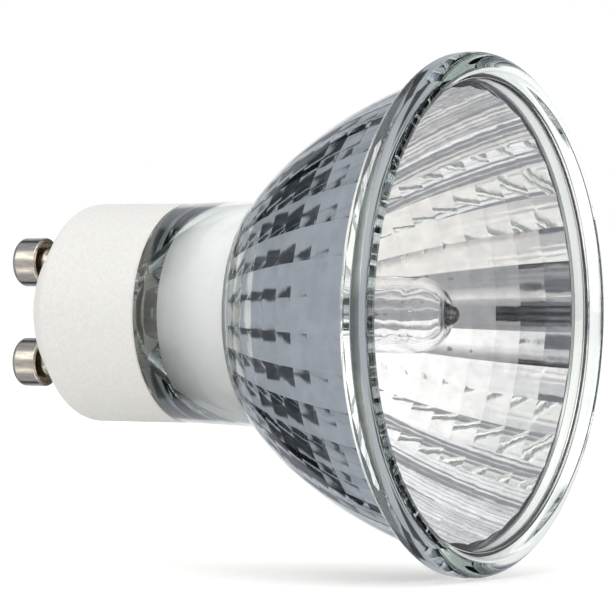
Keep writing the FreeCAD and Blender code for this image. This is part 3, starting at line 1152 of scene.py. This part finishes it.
@dataclass
class Studio:
    """Pale floor, soft lights, white backdrop and the photograph's camera.

    Attributes:
        floor_drop, floor_size: Depth below the axis and length of a side, in metres.
        floor_colour, floor_lift: The floor's colour, and the glow that takes it to white.
        soft_boxes: The lights.
        eye: Place of the camera in metres.
        right, up: Directions of the picture's sides.
        lens_mm, sensor_mm: Focal length and width of the film.
        clip: Nearest and farthest distance shown, in metres.
    """

    floor_drop: float = 0.0251
    floor_size: float = 6.0
    floor_colour: str = "#F0EFEE"
    floor_lift: float = 0.3
    soft_boxes: tuple[SoftBox, ...] = (
        SoftBox("overhead_softbox", (-0.35, -0.15, 0.9), 0.8, 1.5),
        SoftBox("left_softbox", (-0.75, 0.65, 0.30), 0.5, 0.6))
    eye: Triple = (-0.37282, -0.24260, 0.00196)
    right: Triple = (0.50064, -0.86567, 0.00438)
    up: Triple = (0.0, 0.00506, 0.99999)
    lens_mm: float = 262.0
    sensor_mm: float = 36.0
    clip: tuple[float, float] = (0.01, 100.0)

    def camera(self) -> None:
        """Places the camera at the photograph's viewing angle."""
        data = bpy.data.cameras.new("photo_camera")
        data.lens = self.lens_mm
        data.sensor_width = self.sensor_mm
        data.clip_start, data.clip_end = self.clip
        right, up = Vector(self.right).normalized(), Vector(self.up).normalized()
        back = Vector(self.right).cross(Vector(self.up)).normalized()
        turn = Matrix((right, up, back)).transposed()
        eye = bpy.data.objects.new("photo_camera", data)
        eye.matrix_world = Matrix.Translation(self.eye) @ turn.to_4x4()
        bpy.context.scene.collection.objects.link(eye)
        bpy.context.scene.camera = eye

    def floor(self) -> None:
        """Lays the pale floor just below the rim. Reflected rays pass it to meet the walls."""
        half = self.floor_size / 2
        corners = [(-half, -half, 0), (half, -half, 0), (half, half, 0), (-half, half, 0)]
        mesh = bpy.data.meshes.new("floor")
        mesh.from_pydata(corners, [], [(0, 1, 2, 3)])
        plane = bpy.data.objects.new("floor", mesh)
        plane.location.z = -self.floor_drop
        bpy.context.scene.collection.objects.link(plane)
        paint = bpy.data.materials.new("pale_floor")
        paint.use_nodes = True
        tree = paint.node_tree
        tree.nodes.clear()
        kinds = ray_kinds(tree)
        card = add_node(tree, "ShaderNodeBsdfDiffuse", {}, {"Color": linear(self.floor_colour)})
        lift = add_node(tree, "ShaderNodeEmission", {}, {
            "Color": WHITE, "Strength": self.floor_lift})
        no_lift = add_node(tree, "ShaderNodeEmission", {}, {"Strength": 0.0})
        glow = add_node(tree, "ShaderNodeMixShader", {}, {
            0: kinds["straight"], 1: no_lift.outputs[0], 2: lift.outputs[0]})
        both = add_node(tree, "ShaderNodeAddShader", {}, {0: card.outputs[0], 1: glow.outputs[0]})
        open_air = add_node(tree, "ShaderNodeBsdfTransparent")
        shown = add_node(tree, "ShaderNodeMixShader", {}, {
            0: kinds["mirrored"], 1: both.outputs[0], 2: open_air.outputs[0]})
        add_node(tree, "ShaderNodeOutputMaterial", {}, {"Surface": shown.outputs[0]})
        paint.cycles.emission_sampling = "NONE"
        mesh.materials.append(paint)

    def world(self) -> None:
        """Surrounds the lamp with the studio, which each kind of ray sees in its own way."""
        world = bpy.data.worlds.new("studio")
        bpy.context.scene.world = world
        world.use_nodes = True
        tree = world.node_tree
        tree.nodes.clear()
        kinds = ray_kinds(tree)
        in_glass = kinds["Is Transmission Ray"]
        way = add_node(tree, "ShaderNodeTexCoord").outputs["Generated"]
        backdrop = layered(tree, WHITE, [(in_glass, SEEN_THROUGH_GLASS.colour(tree, way))])
        shown = layered(tree, SKY.colour(tree, way), [
            (in_glass, SKY_UNDER_GLASS.colour(tree, way)),
            (kinds["mirrored"], REFLECTED.colour(tree, way)),
            (kinds["straight"], backdrop)])
        light = add_node(tree, "ShaderNodeBackground", {}, {"Color": shown, "Strength": 1.0})
        add_node(tree, "ShaderNodeOutputWorld", {}, {"Surface": light.outputs["Background"]})
        world.cycles.sampling_method = "NONE"

    def build(self) -> None:
        """Sets up the whole studio, the plain view settings and enough bounces for the glass."""
        scene = bpy.context.scene
        scene.view_settings.view_transform = "Standard"
        scene.cycles.diffuse_bounces = 10
        scene.cycles.glossy_bounces = 12
        scene.cycles.transmission_bounces = 16
        scene.cycles.max_bounces = 24
        scene.cycles.use_denoising = True
        self.camera()
        self.floor()
        for box in self.soft_boxes:
            box.hang()
        self.world()


def main() -> None:
    """Builds the lamp's pieces in order, then the studio."""
    logging.basicConfig(level=logging.INFO, format="%(name)s: %(message)s")
    at = Places()
    FramePieces().build()
    Reflector(at).build()
    Cover(at).build()
    Capsule(at).build()
    Filament().build()
    Studio().build()
    bpy.context.view_layer.update()


if __name__ == "__main__":
    main()
